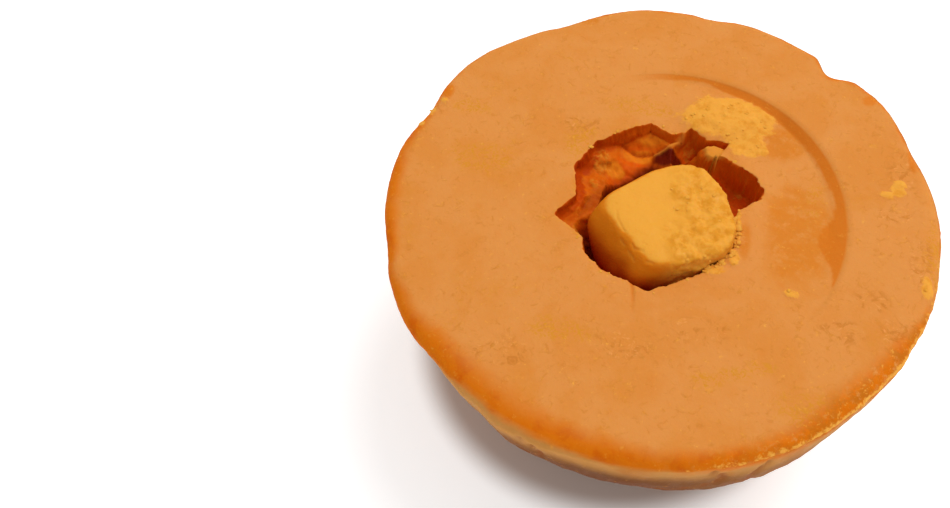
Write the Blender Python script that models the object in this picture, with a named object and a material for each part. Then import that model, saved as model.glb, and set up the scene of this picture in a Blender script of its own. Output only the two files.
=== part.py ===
"""Half of a round cake of palm jaggery, resting on its dome with the flat face up.

The cake was cast in a bowl-shaped mould. Its face has a rounded shoulder, a shallow sunken
disc and, in the middle, a broken hollow in which a paler chunk lies loose.
Lengths in the shape functions are millimetres from the middle of the face: X to the right,
Y to the back, Z up from the face. The objects themselves are in metres and stand on Z = 0.
"""

import math

import bmesh
import bpy
import numpy as np

MM = 0.001

# Outer form
RIM_RADIUS = 50.1
DOME_DEPTH = 47.8
FOOT_RADIUS = 9.0
FACE_HEIGHT = DOME_DEPTH * math.sqrt(1 - (FOOT_RADIUS / RIM_RADIUS) ** 2)

# How much less full than a ball the dome's flank is, all round and in stretches that differ
# (direction in degrees, half width in degrees, how much)
DOME_SLACK = 2.2
DOME_SLACKER = ((215, 36, 3.6), (288, 50, -1.6), (302, 32, -0.9))

# Dents (minus) and bulges (plus) of the rim, which fade out down the dome: direction in degrees,
# half width in degrees, height
RIM_FADE_POWER = 6
RIM_UNEVEN = (
    (5, 20, 0.6),
    (22, 7, -0.3),
    (38, 14, 0.9),
    (51, 6, -2.3),
    (72, 12, 0.35),
    (82, 6, -0.4),
    (98, 16, 0.9),
    (117, 7, -0.6),
    (141, 19, 1.3),
    (158, 8, -0.6),
    (171, 10, 0.7),
    (181, 10, 0.4),
    (196, 9, -0.5),
    (226, 12, -0.8),
    (237, 8, -0.6),
    (268, 26, -0.5),
    (318, 14, -0.4),
    (345, 12, 0.35),
)

# Shoulder between dome and face: width and drop all round, and the wide worn stretches
SHOULDER_WIDTH = 1.6
SHOULDER_DROP = 1.4
SHOULDER_WORN = ((238, 50, 4.2, 1.6), (270, 35, 1.2, 0.6), (178, 30, 1.2, 0.5), (345, 40, 3.4, 0.6))

# Sunken disc of the face
DISC_CENTRE = (1.5, 0.4)
DISC_RADIUS = 32.9
DISC_DROP = 1.2
DISC_EDGE = 1.6
DISC_EDGE_WIDER = (0, 60, 1.8)
DISC_MIDDLE = 33
DISC_REACH = 88
DISC_FADE = (0.35, 0.75)

# Rubble pressed on to the face beside the hollow
MOUND_CENTRE = (10.5, 24.0)
MOUND_RADII = (9.5, 5.5)
MOUND_HEIGHT = 1.0
MOUND_END = 1.3

# Mouth of the hollow: corners of the break, clockwise from the ridge in the back wall
HOLLOW_CENTRE = (0.0, 2.0)
BREAK_CORNERS = (
    (3.8, 19.0),
    (4.8, 20.3),
    (8.0, 18.0),
    (12.3, 18.0),
    (10.8, 14.7),
    (14.0, 13.3),
    (17.4, 10.9),
    (19.2, 8.0),
    (18.9, 5.8),
    (16.9, 4.2),
    (15.0, 2.5),
    (15.3, -3.0),
    (14.9, -7.2),
    (9.6, -11.9),
    (0.3, -17.0),
    (-2.6, -15.8),
    (-8.5, -13.6),
    (-12.0, -10.5),
    (-12.7, -7.0),
    (-15.0, -5.6),
    (-18.5, -2.9),
    (-15.0, 1.8),
    (-15.9, 9.0),
    (-12.5, 14.8),
    (-6.0, 19.2),
    (-2.8, 20.5),
    (0.5, 18.6),
)
BREAK_DEPTH = 2.3
BREAK_RUN = 0.7

# Scoops broken out of the hollow: centre x, centre y, radius x, radius y, depth, steepness
SCOOPS = (
    (1.0, -2.5, 15.8, 14.8, 12.6, 10),
    (-4.5, 14.0, 8.5, 7.5, 5.0, 2),
    (-10.5, 8.0, 7.0, 8.0, 4.6, 2),
    (-4.5, 9.5, 10.0, 8.0, 6.2, 2),
    (-14.5, -2.5, 5.5, 5.0, 3.6, 2),
    (5.8, 14.5, 5.0, 6.5, 8.2, 2),
    (13.0, 8.5, 8.0, 7.0, 8.6, 4),
    (10.5, 16.5, 3.2, 2.6, 2.6, 2),
)

# Middle of the loose chunk
CHUNK_CENTRE = (1.5, -2.0, -4.0)

# Broken wall close behind the chunk: direction from the chunk, distance of its foot, and its slope
CREVICE_DIRECTION = (-0.65, 0.76)
CREVICE_DISTANCE = 13.7
CREVICE_SLOPE = 5.0

# Broken faces of the chunk: outward direction, distance from its middle
CHUNK_FACES = (
    ((0.0, 0.04, 1.0), 6.7),
    ((-0.65, 0.76, 0.05), 9.9),
    ((-0.28, 0.96, 0.0), 11.4),
    ((0.35, 0.94, 0.0), 13.3),
    ((0.88, 0.47, 0.0), 12.3),
    ((1.0, 0.0, -0.05), 12.8),
    ((0.64, -0.77, 0.0), 12.0),
    ((0.22, -0.97, 0.05), 11.4),
    ((-0.66, -0.58, 0.48), 10.6),
    ((-0.72, 0.02, 0.70), 12.6),
    ((-1.0, 0.0, 0.0), 14.9),
    ((0.0, 0.0, -1.0), 8.0),
)
CHUNK_UNDERSIDES = 6
CHUNK_UNDERSIDE_TILT = 52
CHUNK_UNDERSIDE_DISTANCE = 11.2
CHUNK_EDGE_SHARPNESS = 14
CHUNK_DIVISIONS = 4

# Mesh density
DIRECTIONS = 120
DOME_RINGS = 11
SHOULDER_RINGS = 2
OUTER_FACE_RINGS = 3
DISC_RINGS = 3
DISC_EDGE_RINGS = 2
HOLLOW_RINGS = (0.90, 0.80, 0.69, 0.57, 0.44, 0.30, 0.15)
SHARP_ANGLE = 40

# Finish
CAST_COLOUR = (0.74, 0.28, 0.06)
CAST_ROUGHNESS = 0.5
PALE_COLOUR = (0.88, 0.39, 0.06)
PALE_ROUGHNESS = 0.55


def smooth_step(value):
    """Rises smoothly from 0 to 1 as the value does."""
    share = np.clip(value, 0.0, 1.0)
    return share * share * (3 - 2 * share)


def swell(angle, middle_deg, half_width_deg):
    """Smooth bump that is 1 in its middle direction and 0 at its half width."""
    away = np.abs((np.degrees(angle) - middle_deg + 180) % 360 - 180)
    return smooth_step(1 - away / half_width_deg)


def rim_radius(angle):
    """Radius of the outer rim in each direction."""
    radius = np.full_like(angle, RIM_RADIUS)
    for middle, half_width, height in RIM_UNEVEN:
        radius = radius + height * swell(angle, middle, half_width)
    return radius


def shoulder_size(angle):
    """Width and drop of the rounded shoulder in each direction."""
    width = np.full_like(angle, SHOULDER_WIDTH)
    drop = np.full_like(angle, SHOULDER_DROP)
    for middle, half_width, more_width, more_drop in SHOULDER_WORN:
        worn = swell(angle, middle, half_width)
        width = width + more_width * worn
        drop = drop + more_drop * worn
    return width, drop


def break_radius(angle):
    """Distance from the hollow's centre to the straight edges between the break's corners."""
    corners = np.array(BREAK_CORNERS)[::-1] - HOLLOW_CENTRE
    bearings = np.arctan2(corners[:, 1], corners[:, 0])
    order = np.argsort(bearings)
    corners, bearings = corners[order], bearings[order]
    wrapped = (angle + math.pi) % math.tau - math.pi
    start = (np.searchsorted(bearings, wrapped, side="right") - 1) % len(corners)
    first = corners[start]
    edge = corners[(start + 1) % len(corners)] - first
    crossing = np.cos(angle) * edge[:, 1] - np.sin(angle) * edge[:, 0]
    return (first[:, 0] * edge[:, 1] - first[:, 1] * edge[:, 0]) / crossing


def disc_edge_width(angle):
    """Width of the slope down into the sunken disc, in each direction."""
    middle, half_width, more = DISC_EDGE_WIDER
    return DISC_EDGE + more * swell(angle, middle, half_width)


def disc_drop(x, y):
    """How far the sunken disc lies below the face; its edge shows only on one side."""
    east, north = x - DISC_CENTRE[0], y - DISC_CENTRE[1]
    angle = np.arctan2(north, east)
    distance = np.hypot(east, north)
    inside = smooth_step((DISC_RADIUS - distance) / disc_edge_width(angle))
    fade_from, fade_to = DISC_FADE
    outward = smooth_step((distance / DISC_RADIUS - fade_from) / (fade_to - fade_from))
    return DISC_DROP * inside * swell(angle, DISC_MIDDLE, DISC_REACH) * outward


def mound_height(x, y):
    """Low heap of rubble pressed on to the face."""
    reach = np.hypot((x - MOUND_CENTRE[0]) / MOUND_RADII[0], (y - MOUND_CENTRE[1]) / MOUND_RADII[1])
    return MOUND_HEIGHT * smooth_step(MOUND_END - reach)


def face_height(x, y):
    """Height of the unbroken face."""
    return mound_height(x, y) - disc_drop(x, y)


def crevice_wall(x, y):
    """Height of the wall behind the chunk over the floor of the first scoop."""
    east, north = x - CHUNK_CENTRE[0], y - CHUNK_CENTRE[1]
    behind = east * CREVICE_DIRECTION[0] + north * CREVICE_DIRECTION[1]
    return CREVICE_SLOPE * np.maximum(behind - CREVICE_DISTANCE, 0)


def scoop_height(x, y):
    """Height of the hollow's floor: the lowest of its scoops at each place."""
    lowest = np.full_like(x, -BREAK_DEPTH)
    for number, (centre_x, centre_y, radius_x, radius_y, depth, steepness) in enumerate(SCOOPS):
        reach = np.hypot((x - centre_x) / radius_x, (y - centre_y) / radius_y)
        height = depth * (np.minimum(reach, 1.0) ** steepness - 1)
        if number == 0:
            height = np.maximum(height, crevice_wall(x, y) - depth)
        lowest = np.minimum(lowest, height)
    return lowest


def hollow_height(x, y, inset):
    """Height inside the break, at an inset from its edge."""
    fallen = smooth_step(inset / BREAK_RUN)
    return face_height(x, y) * (1 - fallen) + scoop_height(x, y) * fallen


def bearings_through_corners():
    """Even directions, with the nearest ones moved on to the break's corners."""
    angles = np.arange(DIRECTIONS) * math.tau / DIRECTIONS
    for corner_x, corner_y in BREAK_CORNERS:
        bearing = math.atan2(corner_y - HOLLOW_CENTRE[1], corner_x - HOLLOW_CENTRE[0]) % math.tau
        nearest = round(bearing / math.tau * DIRECTIONS) % DIRECTIONS
        angles[nearest] = bearing
    return angles


def ring(centre, radius, angles):
    """Plan of one ring about a centre."""
    return centre[0] + radius * np.cos(angles), centre[1] + radius * np.sin(angles)


def dome_rings(angles):
    """Rings from the foot up the dome to just below the shoulder."""
    rim = rim_radius(angles)
    drop = shoulder_size(angles)[1]
    start = math.asin(FOOT_RADIUS / RIM_RADIUS)
    slack = np.full_like(angles, DOME_SLACK)
    for middle, half_width, more in DOME_SLACKER:
        slack = slack + more * swell(angles, middle, half_width)
    rings = []
    for step in range(DOME_RINGS + 1):
        turn = start + (math.pi / 2 - start) * step / DOME_RINGS
        uneven = (rim - RIM_RADIUS) * math.sin(turn) ** RIM_FADE_POWER
        sunk = slack * math.sin(math.pi * step / DOME_RINGS)
        x, y = ring((0, 0), RIM_RADIUS * math.sin(turn) + uneven - sunk, angles)
        rise = math.cos(turn) / math.cos(start)
        rings.append((x, y, -drop - (FACE_HEIGHT - drop) * rise))
    return rings


def shoulder_rings(angles):
    """Rings over the rounded shoulder on to the face."""
    rim = rim_radius(angles)
    width, drop = shoulder_size(angles)
    rings = []
    for step in range(1, SHOULDER_RINGS + 1):
        turn = math.pi / 2 * step / SHOULDER_RINGS
        x, y = ring((0, 0), rim - width * (1 - math.cos(turn)), angles)
        rings.append((x, y, drop * (math.sin(turn) - 1)))
    return rings


def blend_plans(outer, inner, count, height):
    """Rings between two plans, set on a height function."""
    rings = []
    for step in range(1, count + 1):
        share = step / count
        x = outer[0] + (inner[0] - outer[0]) * share
        y = outer[1] + (inner[1] - outer[1]) * share
        rings.append((x, y, height(x, y)))
    return rings


def face_rings(angles):
    """Rings over the flat face and the sunken disc, up to the break."""
    shoulder = ring((0, 0), rim_radius(angles) - shoulder_size(angles)[0], angles)
    disc_lip = ring(DISC_CENTRE, np.full_like(angles, DISC_RADIUS), angles)
    disc_foot = ring(DISC_CENTRE, DISC_RADIUS - disc_edge_width(angles), angles)
    mouth = ring(HOLLOW_CENTRE, break_radius(angles), angles)
    rings = blend_plans(shoulder, disc_lip, OUTER_FACE_RINGS, face_height)
    rings += blend_plans(disc_lip, disc_foot, DISC_EDGE_RINGS, face_height)
    return rings + blend_plans(disc_foot, mouth, DISC_RINGS, face_height)


def hollow_rings(angles):
    """Rings down the broken wall and over the scooped floor."""
    radius = break_radius(angles)
    rings = []
    foot = radius - BREAK_RUN
    for reach in (foot, *(radius * share for share in HOLLOW_RINGS)):
        x, y = ring(HOLLOW_CENTRE, reach, angles)
        rings.append((x, y, hollow_height(x, y, radius - reach)))
    return rings


def close_rings(rings, bottom, top):
    """Vertices and faces of the closed surface over the rings, from its bottom to its top point."""
    count = len(rings[0][0])
    points = [bottom, *(point for ring_points in rings for point in zip(*ring_points)), top]
    last_ring = 1 + (len(rings) - 1) * count
    faces = []
    for side in range(count):
        after = (side + 1) % count
        faces.append((0, 1 + after, 1 + side))
        for start in range(1, last_ring, count):
            lower, upper = start, start + count
            faces.append((lower + side, lower + after, upper + after, upper + side))
        faces.append((last_ring + side, last_ring + after, len(points) - 1))
    return points, faces


def chunk_undersides():
    """Sloping faces all round that narrow the chunk towards its base."""
    tilt = math.radians(CHUNK_UNDERSIDE_TILT)
    faces = []
    for side in range(CHUNK_UNDERSIDES):
        bearing = math.tau * side / CHUNK_UNDERSIDES
        outward = (math.sin(tilt) * math.cos(bearing), math.sin(tilt) * math.sin(bearing), -math.cos(tilt))
        faces.append((outward, CHUNK_UNDERSIDE_DISTANCE))
    return faces


def chunk_points(directions):
    """Points of the chunk: the soft meeting of its broken faces, along each direction."""
    power = CHUNK_EDGE_SHARPNESS
    total = np.zeros(len(directions))
    for normal, distance in (*CHUNK_FACES, *chunk_undersides()):
        outward = np.array(normal) / np.linalg.norm(normal)
        total += (np.maximum(directions @ outward, 0) / distance) ** power
    return np.array(CHUNK_CENTRE) + directions * (total ** (-1 / power))[:, None]


def make_material(name, colour, roughness):
    """Matt sugar with a little gloss."""
    material = bpy.data.materials.new(name)
    material.use_nodes = True
    shader = material.node_tree.nodes["Principled BSDF"]
    shader.inputs["Base Color"].default_value = (*colour, 1)
    shader.inputs["Roughness"].default_value = roughness
    shader.inputs["Metallic"].default_value = 0
    return material


def place(name, mesh, material):
    """Object that stands on Z = 0, made from a mesh in millimetres about the face."""
    for vertex in mesh.vertices:
        vertex.co.z += FACE_HEIGHT
        vertex.co *= MM
    mesh.materials.append(material)
    mesh.shade_smooth()
    mesh.set_sharp_from_angle(angle=math.radians(SHARP_ANGLE))
    piece = bpy.data.objects.new(name, mesh)
    bpy.context.collection.objects.link(piece)
    return piece


def make_half():
    """The cast half with its broken hollow."""
    angles = bearings_through_corners()
    rings = dome_rings(angles) + shoulder_rings(angles) + face_rings(angles) + hollow_rings(angles)
    x, y = np.array([HOLLOW_CENTRE[0]]), np.array([HOLLOW_CENTRE[1]])
    bottom = (0.0, 0.0, -FACE_HEIGHT)
    top = (*HOLLOW_CENTRE, float(scoop_height(x, y)[0]))
    points, faces = close_rings(rings, bottom, top)
    mesh = bpy.data.meshes.new("jaggery_half")
    mesh.from_pydata(points, [], faces)
    return place("jaggery_half", mesh, make_material("cast_jaggery", CAST_COLOUR, CAST_ROUGHNESS))


def make_chunk():
    """The paler chunk that lies in the hollow."""
    ball = bmesh.new()
    bmesh.ops.create_icosphere(ball, subdivisions=CHUNK_DIVISIONS, radius=1)
    directions = np.array([vertex.co.normalized() for vertex in ball.verts])
    for vertex, point in zip(ball.verts, chunk_points(directions)):
        vertex.co = point
    mesh = bpy.data.meshes.new("centre_chunk")
    ball.to_mesh(mesh)
    ball.free()
    return place("centre_chunk", mesh, make_material("pale_jaggery", PALE_COLOUR, PALE_ROUGHNESS))


def main():
    for piece in list(bpy.data.objects):
        bpy.data.objects.remove(piece, do_unlink=True)
    make_half()
    make_chunk()


main()
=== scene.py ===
"""Looks of the palm jaggery half: tan cast dome, orange rim, flat face and a broken hollow.

Lengths in the shape functions are millimetres from the middle of the face: X to the right,
Y to the back, Z up from the face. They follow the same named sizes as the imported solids, on a
much finer mesh, and the finished meshes are in metres, standing on Z = 0.
"""

import functools
import math

import bmesh
import bpy
import numpy as np
from mathutils import Matrix, Vector, noise


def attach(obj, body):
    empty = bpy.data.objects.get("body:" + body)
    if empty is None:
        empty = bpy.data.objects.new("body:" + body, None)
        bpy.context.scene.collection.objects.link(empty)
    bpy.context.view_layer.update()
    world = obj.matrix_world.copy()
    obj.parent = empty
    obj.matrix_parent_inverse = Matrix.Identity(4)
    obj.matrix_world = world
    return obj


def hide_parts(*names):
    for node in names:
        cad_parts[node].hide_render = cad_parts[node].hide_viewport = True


MM = 0.001

# Outer form
RIM_RADIUS = 50.1
DOME_DEPTH = 47.8
FOOT_RADIUS = 9.0
FACE_HEIGHT = DOME_DEPTH * math.sqrt(1 - (FOOT_RADIUS / RIM_RADIUS) ** 2)

# How much less full than a ball the dome's flank is; stretches that differ, here and below, are a
# direction and a half width in degrees, and how much
DOME_SLACK = 2.2
DOME_SLACKER = ((215, 36, 3.6), (288, 50, -1.6), (302, 32, -0.9))

# Dents (minus) and bulges (plus) of the rim, which fade out down the dome
RIM_FADE_POWER = 6
RIM_UNEVEN = (
    (5, 20, 0.6), (22, 7, -0.3), (38, 14, 0.9), (51, 6, -2.3), (72, 12, 0.35), (82, 6, -0.4),
    (98, 16, 0.9), (117, 7, -0.6), (141, 19, 1.3), (158, 8, -0.6), (171, 10, 0.7), (181, 10, 0.4),
    (196, 9, -0.5), (226, 12, -0.8), (237, 8, -0.6), (268, 26, -0.5), (318, 14, -0.4), (345, 12, 0.35),
)

# Shoulder between dome and face: width and drop all round, and the wide worn stretches
SHOULDER_WIDTH = 1.6
SHOULDER_DROP = 1.4
SHOULDER_WORN = ((238, 50, 4.2, 1.6), (270, 35, 1.2, 0.6), (178, 30, 1.2, 0.5), (345, 40, 3.4, 0.6))

# Sunken disc of the face
DISC_CENTRE = (1.5, 0.4)
DISC_RADIUS = 32.9
DISC_DROP = 1.2
DISC_EDGE = 1.6
DISC_EDGE_WIDER = (0, 60, 1.8)
DISC_MIDDLE = 33
DISC_REACH = 88
DISC_FADE = (0.35, 0.75)

# Rubble pressed on to the face beside the hollow
MOUND_CENTRE = (10.5, 24.0)
MOUND_RADII = (9.5, 5.5)
MOUND_HEIGHT = 1.0
MOUND_END = 1.3

# Mouth of the hollow: corners of the break, clockwise from the ridge in the back wall
HOLLOW_CENTRE = (0.0, 2.0)
BREAK_CORNERS = (
    (3.8, 19), (4.8, 20.3), (8, 18), (12.3, 18), (10.8, 14.7), (14, 13.3), (17.4, 10.9), (19.2, 8),
    (18.9, 5.8), (16.9, 4.2), (15, 2.5), (15.3, -3), (14.9, -7.2), (9.6, -11.9), (0.3, -17),
    (-2.6, -15.8), (-8.5, -13.6), (-12, -10.5), (-12.7, -7), (-15, -5.6), (-18.5, -2.9), (-15, 1.8),
    (-15.9, 9), (-12.5, 14.8), (-6, 19.2), (-2.8, 20.5), (0.5, 18.6),
)
BREAK_DEPTH = 2.3
BREAK_RUN = 0.7

# Width of the crumbled strip of the face along the break
MOUTH_CRUMBLED = 1.1

# Crumbled unevenness of the break's edge: height, and its noise
EDGE_UNEVEN = ((0.40, (2.2, 3, 1)), (0.16, (0.7, 2, 2)))

# Seam where crumbs close the gap beside the chunk: how far the edge closes, the room it keeps to the
# chunk, and how steeply and over how much the relief calms
SEAM = (-28, 36)
SEAM_CLOSED = 1.7
SEAM_CLEAR = 0.12
SEAM_STEEPNESS = 6
SEAM_CALM = 0.5
SEAM_SECTORS = 360

# Scoops broken out of the hollow: centre x, centre y, radius x, radius y, depth, steepness
SCOOPS = (
    (1, -2.5, 15.8, 14.8, 12.6, 10), (-4.5, 14, 8.5, 7.5, 5, 2), (-10.5, 8, 7, 8, 4.6, 2),
    (-4.5, 9.5, 10, 8, 6.2, 2), (-14.5, -2.5, 5.5, 5, 3.6, 2), (5.8, 14.5, 5, 6.5, 8.2, 2),
    (13, 8.5, 8, 7, 8.6, 4), (10.5, 16.5, 3.2, 2.6, 2.6, 2),
)

# Middle of the loose chunk
CHUNK_CENTRE = (1.5, -2.0, -4.0)

# Broken wall close behind the chunk: direction from the chunk, distance of its foot, and its slope
CREVICE_DIRECTION = (-0.65, 0.76)
CREVICE_DISTANCE = 13.7
CREVICE_SLOPE = 5.0

# Broken faces of the chunk: outward direction (x, y, z) and distance from its middle
CHUNK_FACES = (
    (0, 0.04, 1, 6.7), (-0.65, 0.76, 0.05, 9.9), (-0.28, 0.96, 0, 11.4), (0.35, 0.94, 0, 13.3),
    (0.88, 0.47, 0, 12.3), (1, 0, -0.05, 12.8), (0.64, -0.77, 0, 12), (0.22, -0.97, 0.05, 11.4),
    (-0.66, -0.58, 0.48, 10.6), (-0.72, 0.02, 0.70, 12.6), (-1, 0, 0, 14.9), (0, 0, -1, 8),
)
CHUNK_UNDERSIDES = 6
CHUNK_UNDERSIDE_TILT = 52
CHUNK_UNDERSIDE_DISTANCE = 11.2
CHUNK_EDGE_SHARPNESS = 14
CHUNK_DIVISIONS = 7

# Orange band round the rim: its width on the face, and wider stretches
BAND_WIDTH = 1.3
BAND_WIDER = (
    (180, 34, 2.4), (238, 44, 6.2), (284, 46, 2.8), (322, 34, 3.8), (352, 28, -1), (60, 50, 0.4),
)
BAND_UNEVEN = 0.9
BAND_RAGGED = 0.25
BAND_SOFTNESS = 0.7
BAND_SOFT_LEAST = 0.4
BAND_BROKEN = (326, 62)

# The band's lower edge: its depth, where it runs deeper, the stretch with drips, and its large and
# fine unevenness, all round and how much more in the drips
BAND_DEPTH = 1.8
BAND_DEEPER = ((90, 150, 4), (206, 32, 1.4), (246, 22, -0.5))
DRIPS = (90, 150)
DRIPS_LARGE = (0.3, 1.3)
DRIPS_FINE = (0.15, 0.6)
SKIN_SOFTNESS = 0.9

# Pale worn rim
PALE_RIM = (324, 66)
PALE_RIM_WIDTH = 0.9
PALE_UNEVEN = 0.3
PALE_SOFTNESS = 1.2

# Painted shade low on the dome, and darker painted shade low on its front: how deep each starts and
# over how much it comes; where the front shade lies; and a dark spot (direction, half width, height,
# reach)
LOW_SHADE = (3, 10)
FRONT_SHADE_DEPTH = (2.4, 6)
FRONT_SHADE = (266, 74)
DARK_SPOT = (257, 6, -9.0, 2.4)
DARK_SPOT_EDGE = (1.4, 0.4)

# Dark line of painted shade along the outline: where, and its reach and softness over the face and down
# the dome
EDGE_SHADE_STRETCH = (62, 104)
EDGE_OVER = (0.9, 0.5)
EDGE_DOWN = (2.6, 0.8)
EDGE_RAGGED = 0.2

# Creases that the mould's cloth left in the dome; lengths are shares of the dome's depth
CREASES = 13
CREASE_SEED = 4
CREASE_DEPTH = 0.45
CREASE_STRAY = 0.35
CREASE_SLANT = 0.55
CREASE_BEND = 0.25
CREASE_WAVES = 9
CREASE_LENGTHS = (0.2, 0.62)
CREASE_WIDTHS = (0.45, 0.85)
CREASE_FROM = 0.03
CREASE_FADES = (0.05, 0.12)
FOOT_CLEAR = 0.25

# Marks of the sunken disc: a thin line of painted shadow along its lip, and a smooth stain inside it
DISC_SHOWN = 3
LIP_PLACE = 0.15
LIP_LINE = 0.16
STAIN_FROM = 0.3
STAIN_RAGGED = 0.25
STAIN_SOFTNESS = 0.5
STAIN_WIDTH = 2.0
STAIN_WIDER = ((-4, 15, 3), (-31, 20, -2.4), (86, 20, -1))
STAIN_UNEVEN = 0.5

# Patches of the face: centre x and y, radius x and y
RUBBLE_SPOTS = (
    (11.4, 23.6, 12.4, 7.6), (15.8, 17.6, 5.4, 4), (43, 11, 2, 2.6), (25, -14, 2.2, 1.4),
    (47.7, -9.4, 1.6, 3.2), (40.8, 9.4, 2, 0.9), (-43.4, 20.8, 1.2, 1), (-45.2, 18.2, 1, 1.4),
    (-46.8, 14.8, 0.8, 1.2), (10.8, -10.9, 4, 1.6), (14.6, -8.2, 1.6, 2.4), (14.7, -2, 1.1, 5.6),
)
OCHRE_SPOTS = (
    (11.5, -33, 3.6, 1.9), (16.2, -31.2, 4, 1.9), (20.6, -29.3, 3.6, 1.7), (28, -36, 8, 5),
    (49.2, -3, 2.6, 10), (-14, -27, 8, 4), (-35, 8, 9, 5), (28, 6, 3.5, 7), (-38, 20, 6, 3),
    (-16, 15, 4.5, 7), (-5, 24, 9, 3),
)
ORANGE_SPOTS = (
    (26, -1, 9.5, 17), (16.2, -4, 1.9, 6), (22, 19, 6, 6), (-43.4, 23.6, 1.8, 2.6), (-18, 45.5, 3, 1.8),
)

# Scuffed patches, dark and light
SCUFFS = (
    (38.3, -13.4, 4.2, 3.4), (33.1, -20.5, 5, 3.4), (43.4, -19.5, 4.6, 5.4), (46.8, -5, 2.8, 7.5),
    (42.5, 4.8, 5, 2), (43.6, 15, 3.4, 6), (-16, 18.4, 5, 3), (-23.4, -32.3, 7, 4), (-3, -28.4, 7, 3.4),
    (9.8, -23.5, 7, 3), (-44, 20.6, 2.6, 4.6),
)
RED_SPOTS = ((-43.2, 23.4, 1.6, 2.6), (37.6, 31, 1.6, 1.6), (45.6, 18.6, 1.2, 5))

# Masks of the patches: strength, large and fine noise, and how much less
PATCHES = {
    "ochre": (OCHRE_SPOTS, 1, 0.5, 0.2, 0),
    "orange": (ORANGE_SPOTS, 1.2, 0.4, 0.2, 0.1),
    "scuff": (SCUFFS, 1.4, 0.3, 0, 0),
    "red": (RED_SPOTS, 1.3, 0, 0.3, 0),
}
RUBBLE_NOISE = (0.25, 0.2)
RUBBLE_WITHIN = 5
RUBBLE_EDGE = (1.6, 0.25)

# Short crack from the hollow to the front: half width, the points that it passes, and its fade
CRACK = (0.55, ((-2.7, -15.5), (-2.2, -18.5), (-1.9, -24.0)))
CRACK_FADE = 9

# Creases (minus) and ridges (plus) in the hollow, with painted shade along the creases and a painted
# highlight along the ridges: height, half width, and the points that they pass
HOLLOW_LINES = (
    (-0.5, 0.5, ((-7.8, 16.8), (-4.8, 15.8), (-1.6, 16), (0.8, 16.9))),
    (0.5, 0.6, ((-1.4, 15.8), (0.4, 16.5), (2, 17.5), (3.4, 18.9))),
)
HOLLOW_RUBBLE = (
    (-11.2, 12.4, 2.6, 3.4), (5.2, 18, 1.8, 1.8), (15.3, 10.8, 1.6, 1.2), (-12.2, 7.4, 1.3, 1.5),
    (-14.2, -3.8, 2, 2.2),
)

# Ledges in the hollow, the first one crumbled: patch, height over the floor there, and top
LEDGES = (
    ((8.4, 15.5, 5, 2.2), 5.6, -0.7),
    ((-12.2, 3.4, 3.8, 7), 7, -3.8),
)
LEDGE_EDGE = (2, 0.3, 0.8, 0.5)
# Patches of painted light and of painted shade in the hollow, its depth scale, and the patches' strength
HOLLOW_LIT = ((-2, 19.4, 4.6, 2.4), (-8.6, 11.6, 2.6, 2.2), (-4.4, 15.4, 4.4, 1.8))
HOLLOW_SHADE = ((1.6, 14.7, 4.6, 2.7),)
HOLLOW_DARK_DEPTH = 9.0
HOLLOW_SPOT_STRENGTH = 1.3

# Red strip of wall under the face, partly painted shade, and painted shade on the darker wall to the left
WALL_DEPTH = 3.4
WALL_FADE = 1.2
WALL_WIDTH = 1.3
WALL_WIDER = ((160, 60, 1),)
WALL_RAGGED = 0.4
WALL_SOFTNESS = 0.5
WALL_STEEP = (0.86, 0.25)
WEST_WALL_SHADE = (155, 75)

# Painted shade in the crevice behind the chunk: its limits, each with its softness
CREVICE_DARK_FROM = (10.2, 1.5)
CREVICE_DARK_TO = (15.8, 2.4)
CREVICE_BELOW = (3, 2)
CREVICE_END = (-4, 2.5)
CREVICE_RAGGED = 0.4

# Crumbling places: raggedness, strength and how much less
CRUMBLY_EDGE = (0.4, 1.8, 0.35)

# Loose chunk: where it turns granular, how far down it stays amber before painted shade reddens it,
# and over how much, its broken lines
CHUNK_SMOOTH_TO = 0.5
CHUNK_AMBER_TO = 0.6
CHUNK_RED_OVER = 6.0
CHUNK_LINES = (
    (0.32, ((-7.2, -1.0), (-6.6, -4.2), (-5.2, -6.6), (-3.9, -8.4), (-3.0, -10.0), (-1.4, -10.6))),
    (0.28, ((-5.6, -7.8), (-4.0, -10.0), (-2.4, -11.8), (0.6, -12.8))),
    (0.28, ((-1.6, -8.8), (-0.6, -9.6), (0.4, -9.4))),
)
CHUNK_GRAIN_RUN = 6
CHUNK_PALE_FROM = 0.86
CHUNK_NOISE = ((5.0, 2, 11), (1.8, 3, 12))
GRAIN_SIZE = 2.0
GRAIN_REACH = 0.8
GRAIN_HEIGHT = 0.30
GRAIN_MIX = 0.65

# Noise of the half's masks, and of both reliefs: lump size in millimetres, octaves, seed
NOISE_SHIFT = (17.3, 5.9, 11.7)
LARGE_NOISE = (9.0, 3, 3)
FINE_NOISE = (2.2, 3, 4)
HALF_NOISE = ((14.0, 2, 5), (3.4, 3, 6), (0.9, 2, 7))
CHUNK_RELIEF_NOISE = ((6.0, 2, 14), (2.4, 3, 15), (0.9, 2, 16))

# Relief under each mask of the half, in millimetres: a step, and slow, middle and fine lumps
PLAIN_RELIEF = (0, 0.07, 0.03, 0.012)
RELIEF = {
    "dome": (0, 0.22, 0.12, 0.05),
    "band": (0, 0, 0.07, 0.03),
    "pale": (0, 0, 0.10, 0.12),
    "rubble": (0.16, 0, 0.30, 0.06),
    "mouth": (-0.10, 0, -0.16, -0.16),
    "ochre": (0, 0, -0.04, 0),
    "orange": (0, 0, 0.05, 0.05),
    "hollow": (0, 0, 0.45, 0.14),
    "crumbly": (0, 0, 0.30, 0.22),
    "crease": (-CREASE_DEPTH, 0, 0, 0),
    "crack": (-0.25, 0, 0, 0),
}
BROKEN_ROUGHER = 1.5
OCHRE_PITS = 0.04
RUBBLE_GRAIN = 0.6

# Relief of the chunk, everywhere and where it is granular, and depth of its broken lines
CHUNK_RELIEF = (0, 0.20, 0.07, 0)
CHUNK_GRAIN_RELIEF = (-0.12, 0, 0.34, 0.07)
CHUNK_LINE_DEPTH = 0.16

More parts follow.
